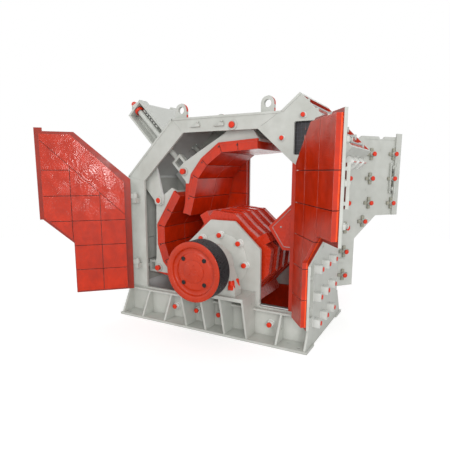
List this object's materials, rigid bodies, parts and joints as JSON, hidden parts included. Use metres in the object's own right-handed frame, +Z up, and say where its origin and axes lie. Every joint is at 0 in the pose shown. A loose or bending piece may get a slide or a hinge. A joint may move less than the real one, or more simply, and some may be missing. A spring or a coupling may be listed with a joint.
{
  "type": "impact crusher",
  "caption": "Horizontal-shaft impact crusher with welded housing, open inspection doors, blow-bar rotor, hanging aprons and belt pulley.",
  "frame": {"origin": "centre of the base on the floor", "axes": "+X along the base towards the feed inlet, +Y away from the drive pulley, +Z up"},
  "size_m": [3.8107, 3.0474, 2.8307],
  "materials": {
    "cream_paint": "gloss enamel",
    "red_paint": "gloss enamel",
    "machined_steel": "turned"
  },
  "bodies": {
    "housing": {"apron_tongues": "cream_paint", "base_rails": "cream_paint", "bearing_housings": "cream_paint", "bearing_plates": "cream_paint", "bolt_boxes": "cream_paint", "chamfer_beams": "cream_paint", "chamfer_wall": "cream_paint", "end_wall_liners": "cream_paint", "feed_chute": "red_paint", "feed_floor": "cream_paint", "hinge_blocks": "cream_paint", "inlet_cheeks": "cream_paint", "inlet_top_plate": "cream_paint", "left_end_wall": "cream_paint", "left_posts": "cream_paint", "lifting_eyes": "cream_paint", "lower_brackets": "cream_paint", "right_end_wall": "cream_paint", "right_posts": "cream_paint", "roof_plate": "cream_paint", "skirt_liners": "red_paint", "top_beams": "cream_paint", "upper_brackets": "cream_paint"},
    "rotor": {"rotor_shaft": "machined_steel", "rotor_body": "red_paint", "blow_bars": "red_paint", "pulley": "red_paint"},
    "upper_apron": {"upper_apron_frame": "cream_paint", "upper_apron_liners": "red_paint"},
    "lower_apron": {"lower_apron_frame": "cream_paint", "lower_apron_liners": "red_paint"},
    "upper_rods": {"upper_rods": "cream_paint"},
    "lower_rods": {"lower_rods": "cream_paint"},
    "front_left_door": {"front_left_door": "cream_paint", "front_left_door_liners": "red_paint"},
    "front_right_door": {"front_right_door": "cream_paint", "front_right_door_liners": "red_paint"},
    "back_left_door": {"back_left_door": "cream_paint", "back_left_door_liners": "red_paint"},
    "back_right_door": {"back_right_door": "cream_paint", "back_right_door_liners": "red_paint"}
  },
  "joints": [
    {"name": "rotor_spin", "type": "hinge", "parent": "housing", "child": "rotor", "pos_m": [0.154, 0, 0.85], "axis": [0, 1, 0], "continuous": true},
    {"name": "upper_apron_swing", "type": "hinge", "parent": "housing", "child": "upper_apron", "pos_m": [0.284, 0, 2.426], "axis": [0, 1, 0], "range_deg": [0, 3]},
    {"name": "lower_apron_swing", "type": "hinge", "parent": "housing", "child": "lower_apron", "pos_m": [-0.85, 0, 1.532], "axis": [0, 1, 0], "range_deg": [0, 3]},
    {"name": "upper_rod_pivot", "type": "hinge", "parent": "upper_apron", "child": "upper_rods", "pos_m": [-0.46263, 0, 1.90819], "axis": [0, 1, 0], "range_deg": [-3, 0]},
    {"name": "lower_rod_pivot", "type": "hinge", "parent": "lower_apron", "child": "lower_rods", "pos_m": [-0.895, 0, 0.622], "axis": [0, 1, 0], "range_deg": [-3, 0]},
    {"name": "front_left_door_swing", "type": "hinge", "parent": "housing", "child": "front_left_door", "pos_m": [-1.133, -0.59, 0], "axis": [0, 0, 1], "range_deg": [-15, 135]},
    {"name": "front_right_door_swing", "type": "hinge", "parent": "housing", "child": "front_right_door", "pos_m": [1.117, -0.59, 0], "axis": [0, 0, 1], "range_deg": [-126.5, 23.5]},
    {"name": "back_left_door_swing", "type": "hinge", "parent": "housing", "child": "back_left_door", "pos_m": [-1.133, 0.59, 0], "axis": [0, 0, 1], "range_deg": [0, 150]},
    {"name": "back_right_door_swing", "type": "hinge", "parent": "housing", "child": "back_right_door", "pos_m": [1.117, 0.59, 0], "axis": [0, 0, 1], "range_deg": [-21, 129]}
  ],
  "couplings": [
    {"joint": "upper_rod_pivot", "follows": "upper_apron_swing", "ratio": -1},
    {"joint": "lower_rod_pivot", "follows": "lower_apron_swing", "ratio": -1}
  ]
}
